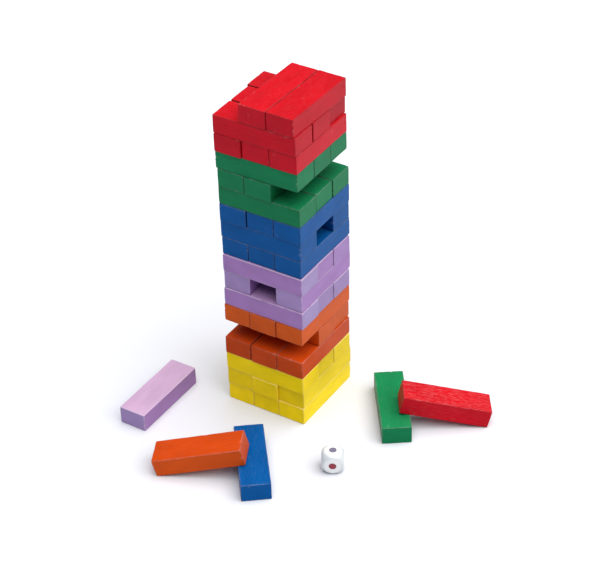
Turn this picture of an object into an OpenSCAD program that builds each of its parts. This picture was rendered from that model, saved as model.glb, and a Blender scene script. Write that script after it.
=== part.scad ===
// Giant tumbling tower: a lawn game of painted wooden blocks, partly played.
// Eighteen rows stand on the ground, three blocks to a full row. Five blocks have been drawn out
// of the tower and lie around it with the colour die. Every block and the die is its own solid.
// Millimetres, +Z up. The origin is the middle of the tower's foot, on the ground.

/* [Block] */
// Length of a block
block_l = 180; // [60:1:300]
// Width of a block
block_w = 59; // [20:0.5:100]
// Thickness of a block
block_t = 39; // [12:0.5:66]
// Width of the eased edge all round a block
edge = 1.2; // [0.3:0.1:4]

/* [Stacking] */
// Least gap between two blocks side by side in a row
side_gap = 0.4; // [0.1:0.1:2]
// Running clearance between one row and the next
row_gap = 0.05; // [0.02:0.01:0.5]

/* [Colour die] */
// Width of the die across its flats
die_w = 45; // [16:1:80]
// Diameter of the ball that rounds the die, as a share of its width
die_round = 1.26; // [1.15:0.01:1.4]
// Diameter of the coloured spot on each face
spot_d = 15; // [4:0.5:20]
// Depth of the round seat the spot is set in
seat_depth = 1; // [0.4:0.1:2]
// How far the face of a spot lies below the die's face
spot_set_in = 0.2; // [0:0.1:0.5]

/* [Loose blocks on the ground] */
// Middle of the lavender block, lying flat
lavender_at = [-203, -176]; // [-400:1:400]
// Turn of the lavender block about the upright
lavender_turn = 90; // [-180:1:180]
// Middle of the blue block, lying flat
blue_at = [74.5, -255]; // [-400:1:400]
// Turn of the blue block about the upright
blue_turn = -52.3; // [-180:0.1:180]
// Middle of the green block, lying flat
green_at = [224.5, 27]; // [-400:1:400]
// Turn of the green block about the upright
green_turn = -54.7; // [-180:0.1:180]
// How far the low end of the orange block stands from the side of the blue block it leans on
orange_reach = 156; // [120:1:175]
// How far along the blue block, from its middle, the low corner of the orange block lies
orange_along = -4; // [-90:1:90]
// Turn of the orange block away from square to the blue block
orange_skew = -12.6; // [-20:0.1:20]
// How far the low end of the red block stands from the side of the green block it leans on
red_reach = 155; // [120:1:175]
// How far along the green block, from its middle, the low corner of the red block lies
red_along = 0; // [-90:1:90]
// Turn of the red block away from square to the green block
red_skew = -2.2; // [-20:0.1:20]
// Middle of the die
die_at = [206, -172]; // [-400:1:400]
// Turn of the die about the upright
die_turn = 33; // [-90:1:90]

/* [Hidden] */
row_pitch = block_t + row_gap;
lane_pitch = block_w + side_gap;

// One line for each row, from the ground up: its colour, the way its blocks point ("x" or "y"),
// how far the whole row has been knocked along x and y, its turn in degrees, and its three
// lanes. A lane is [push along the block, shift across it], and [] where the block is gone.
ROWS = [
    ["yellow", "y", [0, 0], 0, [[0, 0], [0, 0], [0, 0]]],
    ["yellow", "y", [0.1, -1.2], -0.1, [[0, 0], [-2.5, 0], [3.5, 0]]],
    ["yellow", "x", [0.6, -3.4], -0.3, [[0.5, 0], [-1, 0], [0.5, 0]]],
    ["orange", "y", [2, -3.2], 0, [[0, -2.2], [-1, 0], [-0.5, 0]]],
    ["orange", "x", [0.9, 0], 0, [[], [-0.5, 0], [-3, 0.3]]],
    ["orange", "y", [0.4, -0.2], 0, [[0, -0.2], [-1.2, 0], [0.3, 0.2]]],
    ["lavender", "x", [0, 0.2], 0.1, [[2, -0.3], [0, 0], [1, 0]]],
    ["lavender", "y", [1.2, 3.5], 0.2, [[0, 0], [], [0, 0]]],
    ["lavender", "x", [1.1, 1], 0, [[1, 0], [-0.5, 0], [0.5, 0.2]]],
    ["blue", "y", [0, 5], 0, [[0, 0], [0.5, 0], [-0.5, 0.5]]],
    ["blue", "x", [-0.4, 3.9], 0.2, [[0, 0], [], [0, 0]]],
    ["blue", "y", [1.8, 2.2], 0.4, [[-0.5, -1.8], [1, 0], [0, 0.6]]],
    ["green", "x", [0.4, 2.7], 0.6, [[0, -0.9], [-0.8, 0], [0.5, 0.9]]],
    ["green", "y", [1.5, 0.5], 0.2, [[0.5, -0.5], [-0.5, 0], []]],
    ["green", "x", [-1.4, 1.4], 0.4, [[0, -0.5], [0, 0], [-0.5, 0.8]]],
    ["red", "y", [-0.2, -1], 0.4, [[-1, -0.9], [2, 0], [1, 0.4]]],
    ["red", "x", [-0.4, -2.2], -0.1, [[0, 0], [0, 3.2], [-5, 6.2]]],
    ["red", "y", [-0.3, -2.2], -1, [[], [0, -0.3], [1.5, -0.1]]]
];

// Lanes are counted across the row, so an "x" row starts at the front and a "y" row at the left.
LANES_X = ["front", "middle", "back"];
LANES_Y = ["left", "middle", "right"];
LOOSE = ["lavender_loose", "blue_loose", "orange_loose", "green_loose", "red_loose"];

function two_digits(n) = n < 10 ? str("0", n) : str(n);
function lane_name(row, lane) = row[1] == "x" ? LANES_X[lane] : LANES_Y[lane];
function block_name(r, lane) = str(ROWS[r][0], "_row", two_digits(r + 1), "_", lane_name(ROWS[r], lane));
function is_there(r, lane) = len(ROWS[r][4][lane]) == 2;

STACKED = [for (r = [0 : len(ROWS) - 1]) for (lane = [0 : 2]) if (is_there(r, lane)) [r, lane]];

// Every node: the stacked blocks row by row, the loose blocks, and the two parts of the die.
// Which node to draw

// Paint colours, by name.
function paint(name) =
    name == "red" ? [0.86, 0.09, 0.12] :
    name == "green" ? [0.10, 0.52, 0.33] :
    name == "blue" ? [0.02, 0.33, 0.66] :
    name == "lavender" ? [0.72, 0.55, 0.80] :
    name == "orange" ? [0.92, 0.32, 0.13] :
    [0.93, 0.80, 0.08];

// A flat piece whose outline is a rectangle with its corners cut at 45 degrees.
module eased_outline(a, b, c) {
    polygon([[c - a / 2, -b / 2], [a / 2 - c, -b / 2], [a / 2, c - b / 2], [a / 2, b / 2 - c],
        [a / 2 - c, b / 2], [c - a / 2, b / 2], [-a / 2, b / 2 - c], [-a / 2, c - b / 2]]);
}

// One block, lying flat along x with the middle of its underside at the origin.
module block(name) {
    color(paint(name))
    translate([0, 0, block_t / 2])
    intersection() {
        linear_extrude(height = block_t, center = true)
            eased_outline(block_l, block_w, edge);
        rotate([90, 0, 0])
        linear_extrude(height = block_w, center = true)
            eased_outline(block_l, block_t, edge);
        rotate([90, 0, 90])
        linear_extrude(height = block_l, center = true)
            eased_outline(block_w, block_t, edge);
    }
}

// A block in its place in the tower.
module stacked_block(r, lane) {
    row = ROWS[r];
    push = row[4][lane][0];
    across = (lane - 1) * lane_pitch + row[4][lane][1];
    translate([row[2][0], row[2][1], r * row_pitch])
    rotate([0, 0, row[3]])
    translate(row[1] == "x" ? [push, across, 0] : [across, push, 0])
    rotate([0, 0, row[1] == "x" ? 0 : 90])
        block(row[0]);
}

// A block lying flat on the ground.
module flat_block(name, at, turn) {
    translate([at[0], at[1], 0])
    rotate([0, 0, turn])
        block(name);
}

// A block with one end on the ground and the other on the top edge of a flat block, whose
// middle is at rest_at and whose turn is rest_turn. It leans against the side that faces
// side * 90 degrees from the flat block's length. reach is how far out its low edge or corner
// touches the ground, along is where, and skew is its turn away from square.
module leaning_block(name, rest_at, rest_turn, side, reach, along, skew) {
    slope = atan(block_t / reach);
    // The eased edges let the block sink this much before it touches.
    sink = edge * tan(slope) - row_gap;
    low_side = skew == 0 ? 0 : sign(skew) * block_w / 2;
    translate([rest_at[0], rest_at[1], -sink])
    rotate([0, 0, rest_turn + side * 90])
    translate([block_w / 2 + reach, side * -along, 0])
    rotate([0, 0, 180])
    rotate([0, -slope, 0])
    rotate([0, 0, skew])
    translate([block_l / 2, -low_side, 0])
        block(name);
}

module loose_block(name) {
    if (name == "lavender_loose") flat_block("lavender", lavender_at, lavender_turn);
    if (name == "blue_loose") flat_block("blue", blue_at, blue_turn);
    if (name == "green_loose") flat_block("green", green_at, green_turn);
    if (name == "orange_loose")
        leaning_block("orange", blue_at, blue_turn, -1, orange_reach, orange_along, orange_skew);
    if (name == "red_loose")
        leaning_block("red", green_at, green_turn, 1, red_reach, red_along, red_skew);
}

// Puts its children at the middle of each of the die's six faces, pointing outwards along z.
module on_each_face() {
    for (turn = [[0, 0, 0], [90, 0, 0], [-90, 0, 0], [0, 90, 0], [0, -90, 0], [180, 0, 0]])
        rotate(turn)
        translate([0, 0, die_w / 2])
            children();
}

module die_place() {
    translate([die_at[0], die_at[1], die_w / 2])
    rotate([0, 0, die_turn])
        children();
}

// The die: a cube rounded by a ball, with a shallow seat for a spot in each face.
module die_body() {
    color([0.95, 0.95, 0.95])
    die_place()
    difference() {
        intersection() {
            cube(die_w, center = true);
            sphere(d = die_w * die_round, $fn = 96);
        }
        on_each_face()
            translate([0, 0, -seat_depth])
            cylinder(d = spot_d, h = seat_depth + 1, $fn = 64);
    }
}

// The six coloured spots, one in each seat.
module die_spots() {
    color([0.62, 0.10, 0.24])
    die_place()
    on_each_face()
        translate([0, 0, -seat_depth])
        cylinder(d = spot_d - 0.1, h = seat_depth - spot_set_in, $fn = 64);
}

for (b = STACKED)
    stacked_block(b[0], b[1]);
for (name = LOOSE)
    loose_block(name);
die_body();
die_spots();
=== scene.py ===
import math
import bpy
import numpy as np
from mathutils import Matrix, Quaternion, Vector


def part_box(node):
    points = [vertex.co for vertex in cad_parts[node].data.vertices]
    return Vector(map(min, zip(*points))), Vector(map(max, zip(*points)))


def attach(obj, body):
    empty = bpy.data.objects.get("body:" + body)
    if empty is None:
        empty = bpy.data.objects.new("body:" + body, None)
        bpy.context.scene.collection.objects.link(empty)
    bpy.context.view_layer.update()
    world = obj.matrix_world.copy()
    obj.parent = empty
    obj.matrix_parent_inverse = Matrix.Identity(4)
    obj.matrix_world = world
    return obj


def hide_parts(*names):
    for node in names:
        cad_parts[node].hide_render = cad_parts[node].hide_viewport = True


# The looks of a giant tumbling tower: painted wooden blocks with sanded edges, dents and grain,
# and a glossy colour die, on a pale floor in soft light. Everything is in metres.
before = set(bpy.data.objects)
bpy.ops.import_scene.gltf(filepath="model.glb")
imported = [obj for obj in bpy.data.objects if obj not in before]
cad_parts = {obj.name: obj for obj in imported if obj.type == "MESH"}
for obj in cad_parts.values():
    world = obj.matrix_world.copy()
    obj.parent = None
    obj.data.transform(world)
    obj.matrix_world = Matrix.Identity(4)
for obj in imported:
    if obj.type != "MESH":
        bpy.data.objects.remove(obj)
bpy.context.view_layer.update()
MM = 0.001
BLOCKS = [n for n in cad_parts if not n.startswith("die_")]

# ---------------------------------------------------------------- camera

CAMERA_AIM = Vector((0.0406, 0, 0.2715))
CAMERA_DISTANCE = 3.8375
CAMERA_AZIMUTH, CAMERA_ELEVATION, CAMERA_ROLL = 32.9, 35.469, -1.76
CAMERA_LENS = 116.4


def make_camera():
    """A long lens that looks down on the tower from its front right."""
    azimuth, elevation = math.radians(CAMERA_AZIMUTH), math.radians(CAMERA_ELEVATION)
    back = Vector((math.sin(azimuth) * math.cos(elevation),
                   -math.cos(azimuth) * math.cos(elevation), math.sin(elevation)))
    camera = bpy.data.objects.new("camera", bpy.data.cameras.new("camera"))
    bpy.context.scene.collection.objects.link(camera)
    camera.data.lens = CAMERA_LENS
    camera.location = CAMERA_AIM + back * CAMERA_DISTANCE
    camera.rotation_mode = "QUATERNION"
    roll = Quaternion((0, 0, 1), math.radians(CAMERA_ROLL))
    camera.rotation_quaternion = (-back).to_track_quat("-Z", "Y") @ roll
    bpy.context.scene.camera = camera


make_camera()

# ---------------------------------------------------------------- materials


class Shader:
    """Short calls that build one material's nodes."""

    def __init__(self, name):
        self.material = bpy.data.materials.new(name)
        self.material.use_nodes = True
        self.tree = self.material.node_tree
        self.surface = self.tree.nodes["Principled BSDF"]

    def add(self, kind, inputs=(), **settings):
        node = self.tree.nodes.new(kind)
        for key, value in settings.items():
            setattr(node, key, value)
        for key, value in dict(inputs).items():
            self.feed(node.inputs[key], value)
        return node

    def feed(self, socket, value):
        if isinstance(value, bpy.types.NodeSocket):
            self.tree.links.new(value, socket)
        else:
            socket.default_value = value

    def math(self, operation, a, b=0.0, clamp=False):
        inputs = {0: a, 1: b}
        return self.add("ShaderNodeMath", inputs, operation=operation, use_clamp=clamp).outputs[0]

    def times(self, *factors):
        """The product of two or more values."""
        product = factors[0]
        for factor in factors[1:]:
            product = self.math("MULTIPLY", product, factor)
        return product

    def value(self, name):
        return self.add("ShaderNodeAttribute", attribute_name=name).outputs["Fac"]

    def vector(self, name):
        return self.add("ShaderNodeAttribute", attribute_name=name).outputs["Vector"]

    def stretched(self, vector, along, across):
        """A vector scaled by one number along the grain and another across it."""
        inputs = {0: vector, 1: (along, across, across)}
        return self.add("ShaderNodeVectorMath", inputs, operation="MULTIPLY").outputs[0]

    def noise(self, vector, repeats, detail=2.0, roughness=0.5):
        """Noise that repeats so often in a metre along the grain and across it."""
        place = self.stretched(vector, *repeats)
        inputs = {"Vector": place, "Scale": 1.0, "Detail": detail, "Roughness": roughness}
        return self.add("ShaderNodeTexNoise", inputs).outputs[0]

    def ramp(self, value, low, high, to_low=0.0, to_high=1.0):
        """value spread from low..high to to_low..to_high, held at both ends."""
        inputs = {0: value, 1: low, 2: high, 3: to_low, 4: to_high}
        return self.add("ShaderNodeMapRange", inputs, clamp=True).outputs[0]

    def mix(self, share, a, b):
        inputs = {0: share, 6: a, 7: b}
        return self.add("ShaderNodeMix", inputs, data_type="RGBA").outputs[2]

    def darken(self, colour, by):
        """A colour times a share."""
        inputs = {0: colour if isinstance(colour, bpy.types.NodeSocket) else colour[:3], "Scale": by}
        return self.add("ShaderNodeVectorMath", inputs, operation="SCALE").outputs[0]

    def finish(self, inputs, relief=None, strength=0.0, height=0.0):
        """Feeds the surface, with relief as a bump of this strength and height."""
        if relief is not None:
            bump = {"Height": relief, "Strength": strength, "Distance": height}
            inputs = {**inputs, "Normal": self.add("ShaderNodeBump", bump).outputs[0]}
        for key, value in inputs.items():
            self.feed(self.surface.inputs[key], value)
        return self.material


def linear(colour):
    """A display colour, 0 to 255 each, as the linear colour that a shader takes."""
    parts = [c / 255 for c in colour]
    return tuple(c / 12.92 if c <= 0.04045 else ((c + 0.055) / 1.055) ** 2.4 for c in parts) + (1,)


# The paints, as display colours: a lit copy on the flats that face up, a shaded copy on the
# sides, and on the end grain, where the paint sinks in.
PAINTS = {
    "red": ((190, 12, 26), (183, 14, 32), (176, 14, 32)),
    "green": ((20, 119, 70), (14, 109, 68), (16, 111, 70)),
    "blue": ((0, 76, 140), (0, 76, 140), (0, 74, 136)),
    "lavender": ((191, 158, 190), (150, 114, 170), (148, 130, 175)),
    "orange": ((196, 69, 12), (194, 80, 20), (190, 80, 24)),
    "yellow": ((240, 208, 0), (238, 208, 0), (232, 200, 0)),
}
BARE_WOOD = (214, 178, 128)
DEEPER = 1.25            # the power of the shaded side paint that gives the deeper mix and the painted shade inside
PALEST = 0.8             # what the paler edge paint fades towards, as a linear grey: painted highlight, and paler paint in dents
RIM_SHADE = 0.55         # how dark the painted shade is along a block's edges, and how dark a die spot's rim is
PAINT_GLOSS = 0.18       # the specular level of satin paint
RING_WIDTH = 4.2 * MM    # from one growth ring to the next
GRAIN_HEIGHT = 0.22 * MM

# How often each kind of noise repeats in a metre, along the grain and across it.
WAVERS, FIBRES, PORES = (9, 55), (26, 720), (190, 1900)
CLOUDS, RAISED_GRAIN, HIGHLIGHT_AND_RUB = (16, 34), (85, 480), (240, 420)


def growth_rings(s, grain):
    """Rings round the heart of the tree, wavered a little, as narrow bands from 0 to 1."""
    flat = s.stretched(grain, 0.0, 1.0)
    radius = s.add("ShaderNodeVectorMath", {0: flat}, operation="LENGTH").outputs["Value"]
    waver = s.times(s.noise(grain, WAVERS, 3.0), 1.6)
    turns = s.math("ADD", s.math("DIVIDE", radius, RING_WIDTH), waver)
    wave = s.math("SINE", s.times(turns, math.tau))
    return s.math("POWER", s.ramp(wave, -1.0, 1.0), 2.2)


def painted_wood(name, colours):
    """Satin paint over planed wood: the rings, fibres and pores show through as fine relief."""
    s = Shader(f"{name}_paint")
    grain = s.vector("grain")
    wear = s.value("wear")
    rings = growth_rings(s, grain)
    fibres = s.noise(grain, FIBRES, 4.0, 0.62)
    pores = s.noise(grain, PORES, 2.0, 0.6)

    # Streaks along the grain, slow clouds, painted shade along the edges, and each block's
    # own tone.
    shade = s.times(
        s.ramp(fibres, 0.30, 0.72, 0.96, 1.03),
        s.ramp(s.noise(grain, CLOUDS, 3.0), 0.3, 0.7, 0.92, 1.08),
        s.math("SUBTRACT", 1.02, s.times(rings, 0.04)),
        s.value("tone"),
        s.ramp(s.value("rim"), 0.0, 1.0, 1.0, RIM_SHADE))
    paint, shaded_side_paint, end_paint = (linear(colour) for colour in colours)
    deep_and_shaded_paint = tuple(c ** DEEPER for c in shaded_side_paint[:3]) + (1,)
    tint, pale = (tuple(c + (PALEST - c) * t for c in paint[:3]) + (1,) for t in (0.25, 0.5))
    # Painted light and shade: a lit copy of the paint on the flats that face up, and a shaded copy
    # on the sides.
    body = s.mix(s.value("up"), shaded_side_paint, paint)
    body = s.mix(s.value("end"), body, end_paint)
    # Deeper paint: a deeper mix all over some blocks, and painted shade on the sides that face into
    # the tower and down.
    body = s.mix(s.value("deep"), body, deep_and_shaded_paint)
    body = s.darken(body, shade)

    # Painted highlights on raised grain and along the edges, paler paint in the dents, and chips.
    fleck_noise = s.noise(grain, RAISED_GRAIN, 4.0, 0.68)
    body = s.mix(s.times(s.ramp(fleck_noise, 0.46, 0.72), s.value("fleck")), body, tint)
    highlight_and_rub_noise = s.noise(grain, HIGHLIGHT_AND_RUB, 4.0, 0.65)
    highlight_and_rub = s.times(wear, s.ramp(highlight_and_rub_noise, 0.30, 0.62, 0.35, 1.0))
    body = s.mix(s.math("MULTIPLY", highlight_and_rub, 0.8, True), body, pale)
    chipped = s.times(s.ramp(wear, 0.86, 1.0), s.ramp(highlight_and_rub_noise, 0.60, 0.64))
    body = s.mix(chipped, body, linear(BARE_WOOD))

    roughness = s.math("ADD", s.ramp(fibres, 0.3, 0.7, 0.36, 0.48), s.times(highlight_and_rub, 0.16))
    relief = s.math("ADD", s.times(rings, 0.55), s.times(fibres, 0.9))
    relief = s.math("ADD", relief, s.times(pores, 0.35))
    relief = s.math("SUBTRACT", relief, s.times(chipped, 0.8))
    surface = {"Base Color": body, "Roughness": roughness,
               "Specular IOR Level": PAINT_GLOSS, "Specular Tint": paint}
    return s.finish(surface, relief, 0.55, GRAIN_HEIGHT)


WHITE_LOW, WHITE_HIGH = (220, 221, 222), (227, 228, 228)
EDGE_GREY, SCUFF_GREY = (186, 194, 198), (180, 178, 174)
HAZE, SCUFFS, RIPPLE, MOTTLE = (90, 90), (900, 160), (260, 260), (700, 700)


def glossy_white():
    """Moulded white plastic with a faint waviness, a few scuffs, and painted shade that greys its
    rounded edges.
    """
    s = Shader("die_white")
    place = s.vector("grain")
    haze = s.ramp(s.noise(place, HAZE, 3.0), 0.35, 0.65)
    scuffs = s.ramp(s.noise(place, SCUFFS, 4.0, 0.7), 0.62, 0.74)
    body = s.mix(haze, linear(WHITE_LOW), linear(WHITE_HIGH))
    # Painted shade: the rounded edges are greyed.
    body = s.mix(s.times(s.value("wear"), 0.7), body, linear(EDGE_GREY))
    body = s.mix(s.times(scuffs, 0.10), body, linear(SCUFF_GREY))
    roughness = s.math("ADD", s.times(scuffs, 0.25), 0.14)
    surface = {"Base Color": body, "Roughness": roughness, "Coat Weight": 0.3}
    return s.finish(surface, s.noise(place, RIPPLE), 0.12, 0.2 * MM)


def spot_paint(name, colour):
    """Brushed-in paint in a die's seat: darker round the rim, and a little mottled."""
    s = Shader(name)
    mottle = s.noise(s.vector("grain"), MOTTLE, 3.0)
    paint = linear(colour)
    rim_paint = tuple(c * RIM_SHADE for c in paint[:3]) + (1,)
    body = s.darken(paint, s.ramp(mottle, 0.3, 0.7, 0.88, 1.1))
    body = s.mix(s.value("wear"), body, rim_paint)
    surface = {"Base Color": body, "Roughness": s.ramp(mottle, 0.3, 0.7, 0.3, 0.42)}
    return s.finish(surface, mottle, 0.3, 0.15 * MM)


# ---------------------------------------------------------------- shapes


class Waves:
    """Smooth noise from about -1 to 1: sine waves of about one size in seeded directions."""

    def __init__(self, random, size, count=8):
        ways = random.normal(size=(count, 3))
        ways /= np.linalg.norm(ways, axis=1, keepdims=True)
        self.ways = ways * random.uniform(0.6, 1.6, (count, 1)) * math.tau / size
        self.starts = random.uniform(0, math.tau, count)

    def __call__(self, points):
        return np.sin(points @ self.ways.T + self.starts).sum(1) / math.sqrt(len(self.ways))


def box_surface(places):
    """The points on a box's surface and the quads that join them, given the places along
    each axis where its grid lines cross."""
    corners, quads, start = [], [], 0
    counts = [len(p) for p in places]
    for axis in range(3):
        u, v = (axis + 1) % 3, (axis + 2) % 3
        for end in (0, counts[axis] - 1):
            i, j = np.meshgrid(np.arange(counts[u]), np.arange(counts[v]), indexing="ij")
            corner = np.zeros(i.shape + (3,), int)
            corner[..., axis], corner[..., u], corner[..., v] = end, i, j
            n = start + np.arange(i.size).reshape(i.shape)
            quad = np.stack([n[:-1, :-1], n[1:, :-1], n[1:, 1:], n[:-1, 1:]], -1).reshape(-1, 4)
            quads.append(quad if end else quad[:, ::-1])
            corners.append(corner.reshape(-1, 3))
            start += i.size
    unique, merged = np.unique(np.concatenate(corners), axis=0, return_inverse=True)
    points = np.stack([np.asarray(p)[unique[:, k]] for k, p in enumerate(places)], 1)
    return points, merged.reshape(-1)[np.concatenate(quads)]


def make_piece(name, body, node, material, points, faces, **values):
    """A smooth mesh that rides on a body, stands for a CAD node and carries values for its
    material on its points."""
    mesh = bpy.data.meshes.new(name)
    mesh.from_pydata(points.tolist(), [], [tuple(f) for f in faces])
    mesh.shade_smooth()
    for key, numbers in values.items():
        numbers = np.asarray(numbers, np.float32)
        kind, field = ("FLOAT_VECTOR", "vector") if numbers.ndim == 2 else ("FLOAT", "value")
        mesh.attributes.new(key, kind, "POINT").data.foreach_set(field, numbers.ravel())
    mesh.materials.append(material)
    piece = bpy.data.objects.new(name, mesh)
    bpy.context.scene.collection.objects.link(piece)
    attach(piece, body)
    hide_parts(node)
    return piece


# ---------------------------------------------------------------- blocks

# Grid lines are even along a block, and closer across its rounded edges.
STEP_ALONG, STEP_ACROSS = 2.8 * MM, 1.6 * MM
EDGE_STEPS = 5

EDGE_ROUND = 1.05 * MM   # usual radius of a sanded edge
CORNER_ROUND = 0.5 * MM  # how much larger it is at a corner
CORNER_REACH = 7 * MM    # how far from the corner that is felt
EDGE_LEAST, EDGE_MOST = 0.7 * MM, 2.0 * MM

DENT_COUNTS = (7, 12)    # at least the first, and fewer than the second
DENT_SIZES = np.array([2.4, 5.0]) * MM
DENT_DEPTHS = np.array([0.15, 0.55]) * MM
FACE_DENTS = 0.4         # how deep a dent on a face is, as a share of one on an edge
DENT_WEAR = 1.6 * MM     # the depth at which a dent is worn through
WARP = 0.10 * MM         # how uneven the planed faces are
RING_RELIEF = 0.05 * MM  # how far the growth rings stand out of them
HEART_DISTANCES = np.array([24, 75]) * MM
GRAIN_LEAN = 0.05        # how far the grain runs out of line in a block's length, as a slope
TREE_LENGTH = 4

# How much painted highlight each colour's upper edges get, and how much painted shade darkens the
# rest, from 0 to 1.
EDGES = {"red": (0.08, 0.8), "green": (0.3, 1.0), "blue": (0.3, 1.0),
         "lavender": (1.3, 0.7), "orange": (0.25, 0.9), "yellow": (0.9, 0.35)}
EDGE_BAND = 1.2 * MM     # how wide the band is of painted highlight or painted shade
LOWER_HIGHLIGHT = 0.35      # how much of that painted highlight the lower edges get
# How far the paint has sunk into the end grain, where it isn't the usual.
SUNK_USUAL = 0.75
SUNK_ENDS = {"lavender_row07_front": 1.2, "lavender_row09_front": 1.2,
             "lavender_row09_middle": 0.1, "lavender_row09_back": 0.3}
# Rows and loose blocks that are painted with a deeper mix.
DEEP = {"orange_row04": 0.8, "orange_loose": 0.45, "red_loose": 0.2}
# Blocks that are lighter or darker than their mates.
TONE_RANGE = (0.94, 1.04)
TONES = {"yellow_row03_middle": 0.86, "red_row17_back": 0.90, "lavender_row07_middle": 0.88,
         "lavender_loose": 0.96, "orange_loose": 1.05}
# How strongly raised grain catches the light, and the share of it that shows on the sides.
FLECK_USUAL, FLECK_ON_SIDES = 0.08, 0.25
FLECKS = {"red_loose": 0.4}
# How much of the lit copy of the paint, as painted top light, the flats get that the rows above
# cover, in all rows but the red ones, which are the top of the tower.
TOP_LIGHT_INSIDE = 0.3
# How dark the painted shade is on the sides that face into the tower and down, and which sides
# those are for each lane, as the ways that they look along the block's own axes.
SHADE_INSIDE = 0.9
UNDER, NEAR, FAR = (0, 0, -1), (0, -1, 0), (0, 1, 0)
INNER_SIDES = {"front": (UNDER, FAR), "right": (UNDER, FAR), "back": (UNDER, NEAR),
               "left": (UNDER, NEAR), "middle": (UNDER, NEAR, FAR), "loose": ()}


def places_along(size, step):
    """Grid lines along one side of a block."""
    half = size / 2
    angles = np.radians(np.linspace(45, 0, EDGE_STEPS + 1))
    edge = half - EDGE_MOST * (1 - np.tan(angles))
    inside = half - EDGE_MOST
    count = round(2 * inside / step) + 1
    return np.concatenate([-edge[:-1], np.linspace(-inside, inside, count), edge[:-1][::-1]])


def block_frame(node):
    """A CAD block's middle, its unit axes along length, width and thickness, and its size."""
    points = np.array([v.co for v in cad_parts[node].data.vertices])
    middle = (points.max(0) + points.min(0)) / 2
    _, ways = np.linalg.eigh(np.cov((points - middle).T))
    length, up = ways[:, 2], ways[:, 0]
    up = up * (1 if up[2] > 0 else -1)
    length = length * (1 if length @ (0.9, 1.0, 0.0) > 0 else -1)
    axes = np.stack([length, np.cross(up, length), up])
    return middle, axes, np.ptp((points - middle) @ axes.T, axis=0)


def facing(out, way):
    """How far each point looks this way, from 0 at 60 degrees off to 1."""
    return np.clip(out @ way * 2 - 1, 0, 1)


def round_edges(random, flat, half, gaps):
    """A box's points moved in so that its edges are round, and the way that each looks. Edges
    are rounder where they are knocked most, at the corners and here and there."""
    corner = np.exp(-((gaps[:, 2] / CORNER_REACH) ** 2))
    radius = EDGE_ROUND * (1 + 0.18 * Waves(random, 24 * MM)(flat)) + CORNER_ROUND * corner
    radius = np.clip(radius, EDGE_LEAST, EDGE_MOST)[:, None]
    inner = np.clip(flat, radius - half, half - radius)
    out = flat - inner
    out /= np.linalg.norm(out, axis=1, keepdims=True)
    return inner + radius * out, out


def grain_places(random, points):
    """Where each point lies in the tree. The heart lies off to one side, and the grain runs a
    little out of line with the block."""
    angle, distance = random.uniform(0, math.tau), random.uniform(*HEART_DISTANCES)
    lean = random.uniform(-GRAIN_LEAN, GRAIN_LEAN, 2)
    grain = points - (0, math.cos(angle) * distance, math.sin(angle) * distance)
    grain[:, 1:] += points[:, :1] * lean
    grain[:, 0] += random.uniform(0, TREE_LENGTH)
    return grain


def dents(random, points, half):
    """How deep each point is pressed in: knocks on the edges and corners, fewer on the faces."""
    depth = np.zeros(len(points))
    for k in range(random.integers(*DENT_COUNTS)):
        centre = random.uniform(-1, 1, 3) * half
        on_edge = k % 4 != 3
        pinned = random.permutation(3)[: 2 if on_edge else 1]
        centre[pinned] = np.sign(centre[pinned]) * half[pinned]
        size = random.uniform(*DENT_SIZES)
        deep = random.uniform(*DENT_DEPTHS) * (1.0 if on_edge else FACE_DENTS)
        reach = np.linalg.norm((points - centre) * (0.6, 1, 1), axis=1) / size
        depth = np.maximum(depth, deep * np.clip(1 - reach * reach, 0, 1) ** 2)
    return depth


def unevenness(random, points, grain):
    """How far the planed faces lie below flat: slow waves, and growth rings that stand proud."""
    wavy = WARP * (1 + Waves(random, 60 * MM)(points))
    rings = np.linalg.norm(grain[:, 1:], axis=1) / (2 * RING_WIDTH)
    wander = 0.3 * Waves(random, 50 * MM)(points)
    return np.clip(wavy, 0, None), RING_RELIEF * (1 + np.sin(math.tau * (rings + wander)))


def edge_wear(random, node, flat, half, gaps):
    """How much painted highlight the edges get, most on the upper ones, and how much painted shade
    darkens the rest.
    """
    edge = np.exp(-((gaps[:, 1] / EDGE_BAND) ** 2))
    upper = LOWER_HIGHLIGHT + (1 - LOWER_HIGHLIGHT) * np.clip(flat[:, 2] / half[2], 0, 1) ** 3
    brightest_edge, darkest = EDGES[node.split("_")[0]]
    brightest_edge *= random.uniform(0.5, 1.4)
    highlit = np.clip(brightest_edge * upper * (1 + 0.3 * Waves(random, 18 * MM)(flat)), 0, 1)
    return edge * highlit, edge * (1 - highlit) * darkest


def deep_mix_and_painted_shade(node, out):
    """How deep the paint is: a deeper mix all over some blocks, and painted shade on the sides that
    face into the tower and down.
    """
    all_over = next((deep for name, deep in DEEP.items() if node.startswith(name)), 0.0)
    deep = np.full(len(out), all_over)
    for side in INNER_SIDES[node.split("_")[-1]]:
        deep = np.maximum(deep, SHADE_INSIDE * facing(out, side))
    return deep


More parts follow.
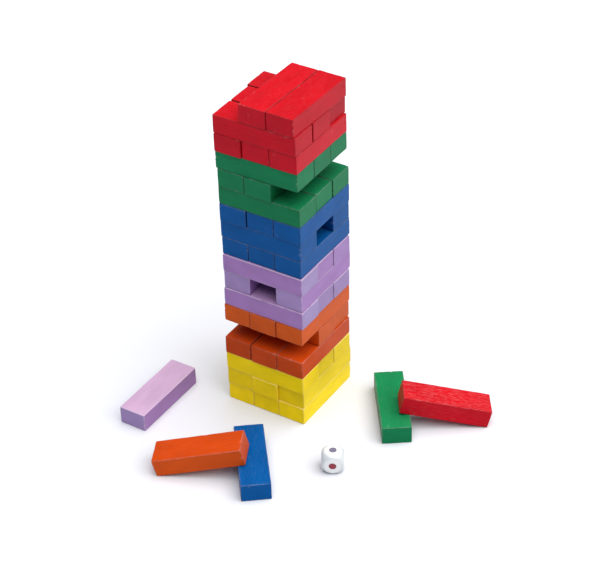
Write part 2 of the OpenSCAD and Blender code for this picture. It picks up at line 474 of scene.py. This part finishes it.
def make_block(node, seed, material):
    """One block: a rounded, slightly uneven and dented slab with the grain along its length."""
    random = np.random.default_rng(seed)
    middle, axes, size = block_frame(node)
    half = size / 2
    steps = (STEP_ALONG, STEP_ACROSS, STEP_ACROSS)
    flat, faces = box_surface([places_along(s, step) for s, step in zip(size, steps)])
    gaps = np.sort(half - abs(flat), axis=1)

    points, out = round_edges(random, flat, half, gaps)
    grain = grain_places(random, points)
    pressed = dents(random, points, half)
    wavy, raised = unevenness(random, points, grain)
    points = points - out * (pressed + wavy + raised)[:, None]

    edge_highlight, rim = edge_wear(random, node, flat, half, gaps)
    tone = random.uniform(*TONE_RANGE) * TONES.get(node, 1.0)
    # Painted top light: the lit copy of the paint, in full on loose blocks and the red rows, less on
    # covered flats.
    painted_top_light = 1.0 if "loose" in node or node.startswith("red") else TOP_LIGHT_INSIDE
    ends = facing(abs(out), (1, 0, 0))
    make_piece(
        f"{node}_block", node, node, material, points @ axes + middle, faces,
        grain=grain, wear=np.clip(edge_highlight + pressed / DENT_WEAR, 0, 1), rim=rim,
        up=facing(out, (0, 0, 1)) * painted_top_light, end=ends * SUNK_ENDS.get(node, SUNK_USUAL),
        tone=np.full(len(points), tone), deep=deep_mix_and_painted_shade(node, out),
        fleck=FLECKS.get(node, FLECK_USUAL) * np.clip(out[:, 2], FLECK_ON_SIDES, 1))


# ---------------------------------------------------------------- die

DIE_BALL = 1.26          # the ball that rounds the die, as a share of its width
DIE_BLEND = 24           # how tightly the ball and the flats meet: larger is sharper
GREYED = 0.16            # how soft the border is of the painted shade on the rounded edges
ON_FACE = 1 - 1e-9       # at least this far from the middle, as a share, is on a face
SEAT_DEEP = 0.75 * MM
SEAT_WALL = 0.35 * MM    # how far out the seat's wall leans
# The grid on a face is round up to the first of these shares of it, and square from the second.
ROUND_WITHIN, SQUARE_FROM = 0.4, 0.9
# How high a spot lies at its rim, its middle and its underside, from the die's face.
SPOT_RIM, SPOT_MIDDLE, SPOT_UNDER = -0.28 * MM, -0.52 * MM, -0.72 * MM
SPOT_RINGS, SPOT_SIDES = 14, 72
# The way that each colour's spot looks.
DIE_SPOTS = {
    "lavender": (0, 0, 1), "red": (0, -1, 0), "yellow": (1, 0, 0),
    "blue": (0, 1, 0), "green": (-1, 0, 0), "orange": (0, 0, -1),
}
SPOT_COLOURS = {**{name: colours[0] for name, colours in PAINTS.items()},
                "lavender": (112, 108, 132), "red": (140, 26, 50)}


def die_frame():
    """The die's middle, its unit axes to the right, back and up, half its width, and the radius
    of a spot."""
    low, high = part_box("die_body")
    half = (high.z - low.z) / 2
    middle = np.array([(low.x + high.x) / 2, (low.y + high.y) / 2, low.z + half])
    points = np.array([v.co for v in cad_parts["die_spots"].data.vertices]) - middle
    # The spot that looks most towards -Y shows which way the die is turned.
    front = points[(points[:, 1] < -half / 2) & (abs(points[:, 2]) < half / 2)].mean(0)
    near = points[points @ front > 0.8 * half * np.linalg.norm(front)]
    front = (near.max(0) + near.min(0)) * (1, 1, 0)
    front /= np.linalg.norm(front)
    up = np.array([0, 0, 1.0])
    spot_radius = np.ptp(near[:, 2]) / 2
    return middle, np.stack([np.cross(up, front), -front, up]), half, spot_radius


def seat_lines(rim):
    """Grid lines across a face of the die, from -1 to 1 and closest at the seat's rim. rim is
    its radius as a share of half the die's width."""
    inside, wall = np.linspace(0, rim - 0.03, 8), np.linspace(rim - 0.02, rim + 0.02, 9)
    rings = np.concatenate([inside, wall, np.linspace(rim + 0.04, 1, 28)])
    return np.concatenate([-rings[:0:-1], rings])


def make_die():
    """A white cube rounded by a ball, with a seat in each face, and a painted spot in each."""
    middle, axes, half, spot_radius = die_frame()
    flat, faces = box_surface([seat_lines(spot_radius / half)] * 3)

    # Square grid rings turn into circles near the middle of a face, so that the seat is round.
    seat = np.zeros(len(flat))
    points = flat.copy()
    for axis in range(3):
        on_face = abs(flat[:, axis]) > ON_FACE
        across = [k for k in range(3) if k != axis]
        place = flat[np.ix_(on_face, across)]
        square = abs(place).max(1)
        reach = np.maximum(np.linalg.norm(place, axis=1), 1e-9)
        roundness = np.clip((SQUARE_FROM - square) / (SQUARE_FROM - ROUND_WITHIN), 0, 1)
        place = place * (1 + roundness * (square / reach - 1))[:, None]
        points[np.ix_(on_face, across)] = place
        inside = spot_radius - np.linalg.norm(place, axis=1) * half
        seat[on_face] = np.maximum(seat[on_face], np.clip(inside / SEAT_WALL, 0, 1))

    way = points / np.linalg.norm(points, axis=1, keepdims=True)
    to_flat = 1 / abs(way).max(1)
    reach = (to_flat ** -DIE_BLEND + DIE_BALL ** -DIE_BLEND) ** (-1 / DIE_BLEND)
    face_way = np.where(abs(flat) > ON_FACE, np.sign(flat), 0)
    local = way * reach[:, None] * half - face_way * (seat * SEAT_DEEP)[:, None]
    # The ball rounds the die where the flats lie further out than it does, and there the edges get
    # painted shade.
    edges = np.clip((to_flat - DIE_BALL + GREYED / 2) / GREYED, 0, 1)
    make_piece("die_shell", "die", "die_body", glossy_white(), local @ axes + middle, faces,
               grain=local, wear=edges)
    for colour, face in DIE_SPOTS.items():
        make_spot(colour, np.array(face, float), spot_radius, half, axes, middle)


def make_spot(colour, face, radius, half, axes, middle):
    """A painted disc, a little hollow in the middle, in the seat of one face of the die."""
    turns = np.arange(SPOT_SIDES) * math.tau / SPOT_SIDES
    shares = np.linspace(0, 1, SPOT_RINGS)[1:]
    heights = SPOT_MIDDLE + (SPOT_RIM - SPOT_MIDDLE) * shares ** 5
    profile = [(share * radius, height) for share, height in zip(shares, heights)]
    profile.append((radius, SPOT_UNDER))
    side = np.cross(face, (0.3, 0.5, 0.8))
    side /= np.linalg.norm(side)
    other = np.cross(face, side)
    ring = np.cos(turns)[:, None] * side + np.sin(turns)[:, None] * other
    points = [face * (half + SPOT_MIDDLE)]
    for reach, height in profile:
        points.extend(ring * reach + face * (half + height))
    points.append(face * (half + SPOT_UNDER))
    points = np.array(points)
    after = np.roll(np.arange(SPOT_SIDES), -1)
    faces = [(0, 1 + k, 1 + after[k]) for k in range(SPOT_SIDES)]
    for row in range(len(profile) - 1):
        a, b = 1 + row * SPOT_SIDES, 1 + (row + 1) * SPOT_SIDES
        faces += [(a + k, b + k, b + after[k], a + after[k]) for k in range(SPOT_SIDES)]
    last = 1 + (len(profile) - 1) * SPOT_SIDES
    faces += [(last + k, len(points) - 1, last + after[k]) for k in range(SPOT_SIDES)]
    rim = np.concatenate([[0], np.repeat(np.append(shares, 1) ** 6, SPOT_SIDES), [1]])
    material = spot_paint(f"spot_{colour}", SPOT_COLOURS[colour])
    make_piece(f"die_spot_{colour}", "die", "die_spots", material, points @ axes + middle, faces,
               grain=points, wear=rim)


# ---------------------------------------------------------------- floor and light

FLOOR_SIZE = 40
FLOOR_COLOUR = (0.68, 0.69, 0.74, 1)
SKY_COLOUR, SKY_POWER = (0.72, 0.84, 1.0, 1), 0.24
BACKDROP_COLOUR = (1, 1, 1, 1)
SOFTBOX_FROM = Vector((0.34, 0.04, 1.0))   # almost overhead, a little to the right
SOFTBOX_POWER, SOFTBOX_SPREAD = 4.9, 84    # the spread is in degrees
SOFTBOX_COLOUR = (1.0, 0.98, 0.94)


def make_studio():
    """A wide pale floor, one large soft light from above, and an even pale sky."""
    bpy.ops.mesh.primitive_plane_add(size=FLOOR_SIZE)
    floor = bpy.context.object
    floor.name = "floor"
    s = Shader("floor_white")
    s.finish({"Base Color": FLOOR_COLOUR, "Roughness": 0.9, "Specular IOR Level": 0.1})
    floor.data.materials.append(s.material)

    softbox = bpy.data.objects.new("softbox", bpy.data.lights.new("softbox", "SUN"))
    bpy.context.scene.collection.objects.link(softbox)
    softbox.data.energy = SOFTBOX_POWER
    softbox.data.angle = math.radians(SOFTBOX_SPREAD)
    softbox.data.color = SOFTBOX_COLOUR
    softbox.rotation_mode = "QUATERNION"
    softbox.rotation_quaternion = (-SOFTBOX_FROM).to_track_quat("-Z", "Y")

    sky = bpy.data.worlds.new("sky")
    bpy.context.scene.world = sky
    sky.use_nodes = True
    nodes, links = sky.node_tree.nodes, sky.node_tree.links
    nodes["Background"].inputs["Color"].default_value = SKY_COLOUR
    nodes["Background"].inputs["Strength"].default_value = SKY_POWER
    # Seen past the floor, the sky is as pale as the floor.
    backdrop = nodes.new("ShaderNodeBackground")
    backdrop.inputs["Color"].default_value = BACKDROP_COLOUR
    seen = nodes.new("ShaderNodeMixShader")
    links.new(nodes.new("ShaderNodeLightPath").outputs["Is Camera Ray"], seen.inputs[0])
    links.new(nodes["Background"].outputs[0], seen.inputs[1])
    links.new(backdrop.outputs[0], seen.inputs[2])
    links.new(seen.outputs[0], nodes["World Output"].inputs["Surface"])
    bpy.context.scene.view_settings.view_transform = "Standard"


# ---------------------------------------------------------------- making it all

paints = {name: painted_wood(name, colours) for name, colours in PAINTS.items()}
for seed, node in enumerate(BLOCKS):
    make_block(node, seed, paints[node.split("_")[0]])
make_die()
make_studio()
